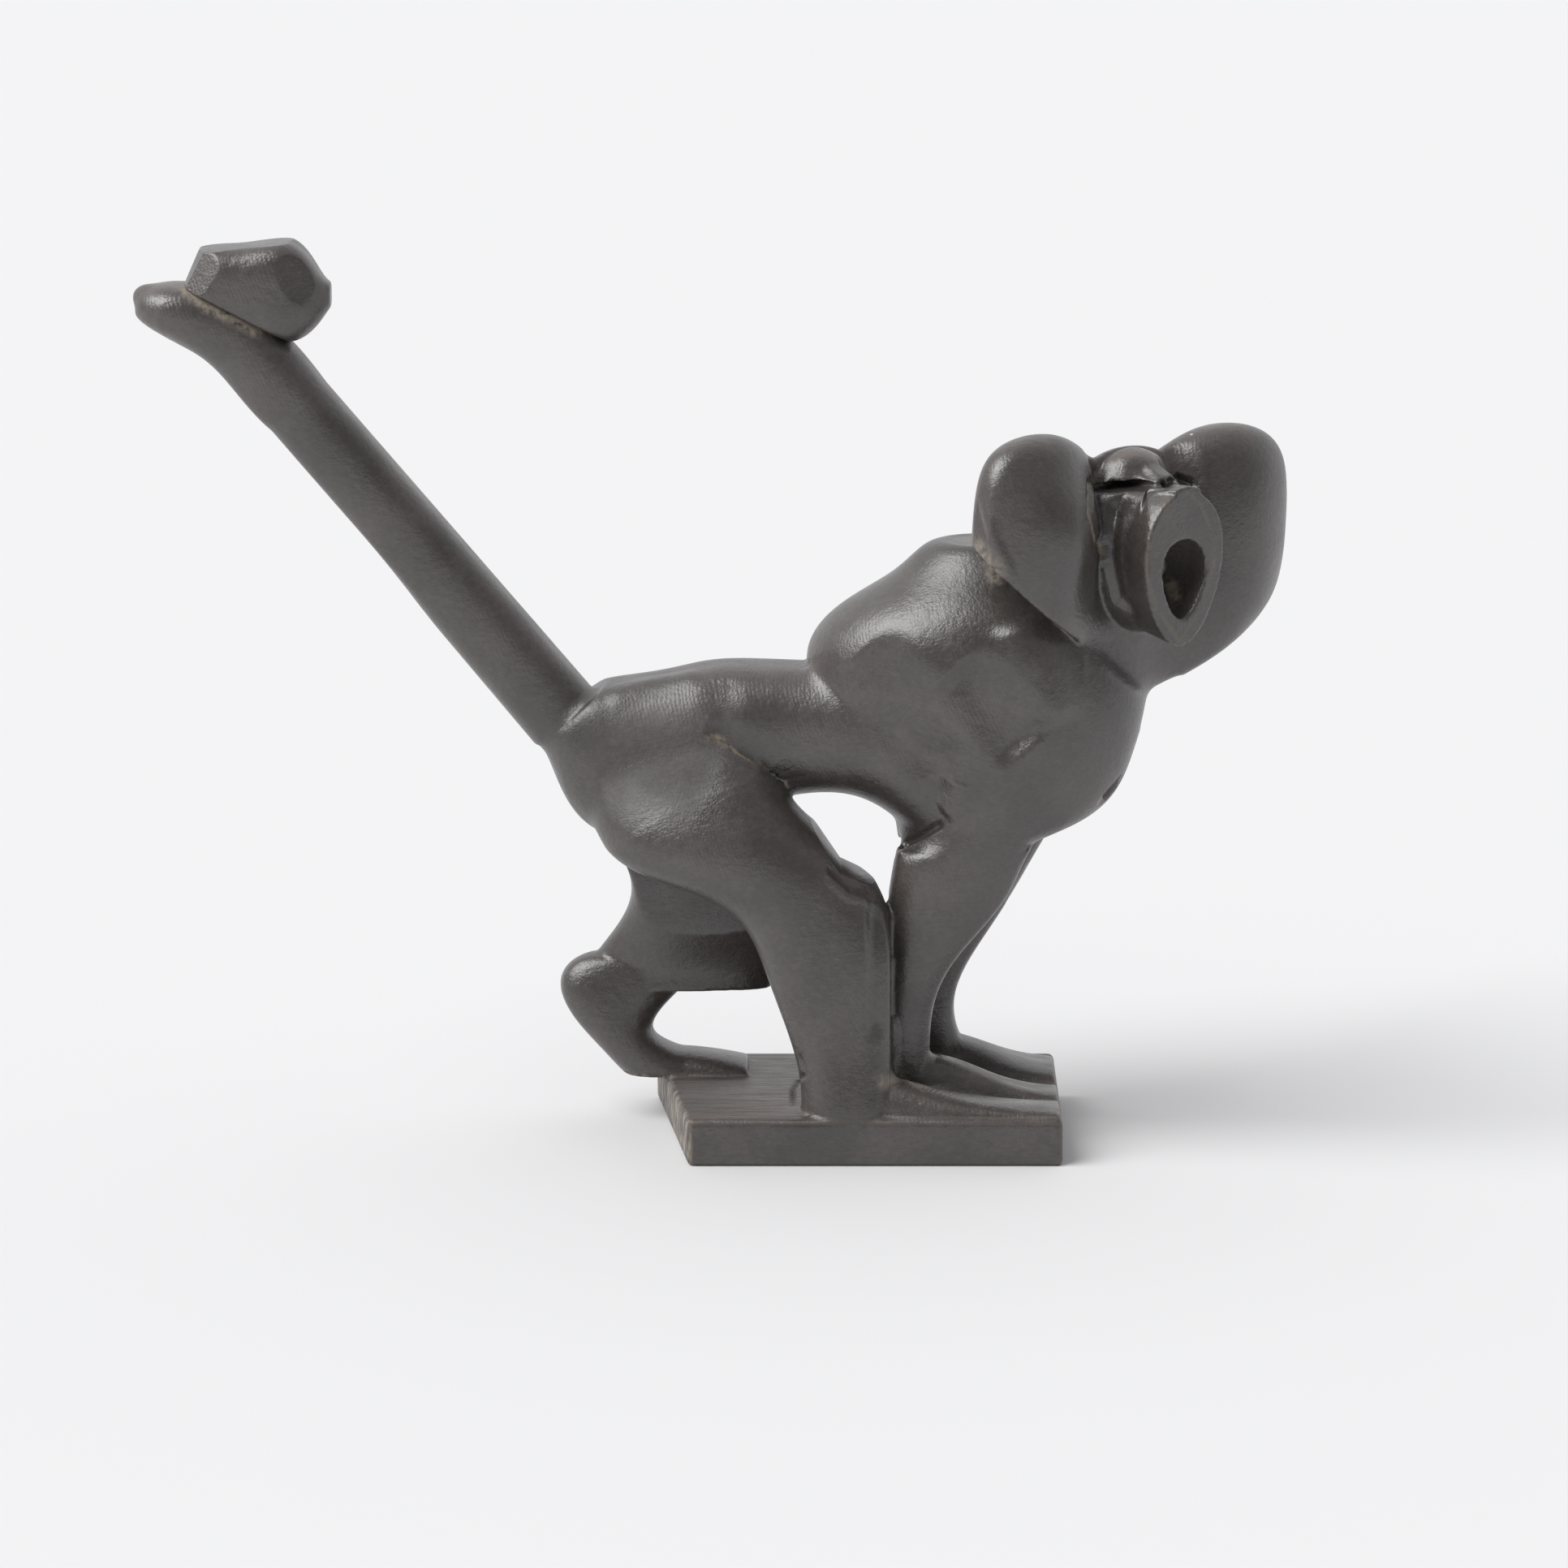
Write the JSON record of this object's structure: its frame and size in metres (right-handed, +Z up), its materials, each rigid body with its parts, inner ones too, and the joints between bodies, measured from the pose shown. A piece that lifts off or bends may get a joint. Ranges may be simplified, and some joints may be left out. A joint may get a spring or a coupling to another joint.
{
  "type": "monkey figurine",
  "caption": "Dark carved wooden monkey in a running pose on a small plinth, with a raised tufted tail, a large cheek ruff and a wide open mouth; a desk or shelf ornament.",
  "frame": {"origin": "middle of the plinth's underside, where the figure stands", "axes": "+X the way the monkey runs, +Y its left, +Z up"},
  "size_m": [0.1976, 0.0483, 0.1567],
  "materials": {
    "stained_wood": "stained nearly black, waxed to a soft sheen, rubbed brown on the edges, dust in the creases",
    "dowel_wood": "bare turned hardwood"
  },
  "bodies": {
    "root": {"plinth": "stained_wood", "torso": "stained_wood", "right_hind_leg": "stained_wood", "left_hind_leg": "stained_wood", "right_fore_leg": "stained_wood", "left_fore_leg": "stained_wood", "tail": "stained_wood", "tail_tuft": "stained_wood", "head": "stained_wood", "right_ruff_lobe": "stained_wood", "left_ruff_lobe": "stained_wood", "muzzle": "stained_wood", "neck_dowel": "dowel_wood", "tail_dowel": "dowel_wood", "tuft_dowel": "dowel_wood", "muzzle_dowel": "dowel_wood", "ruff_dowels": "dowel_wood", "hip_dowel": "dowel_wood", "shoulder_dowels": "dowel_wood", "foot_dowels": "dowel_wood"}
  },
  "joints": []
}
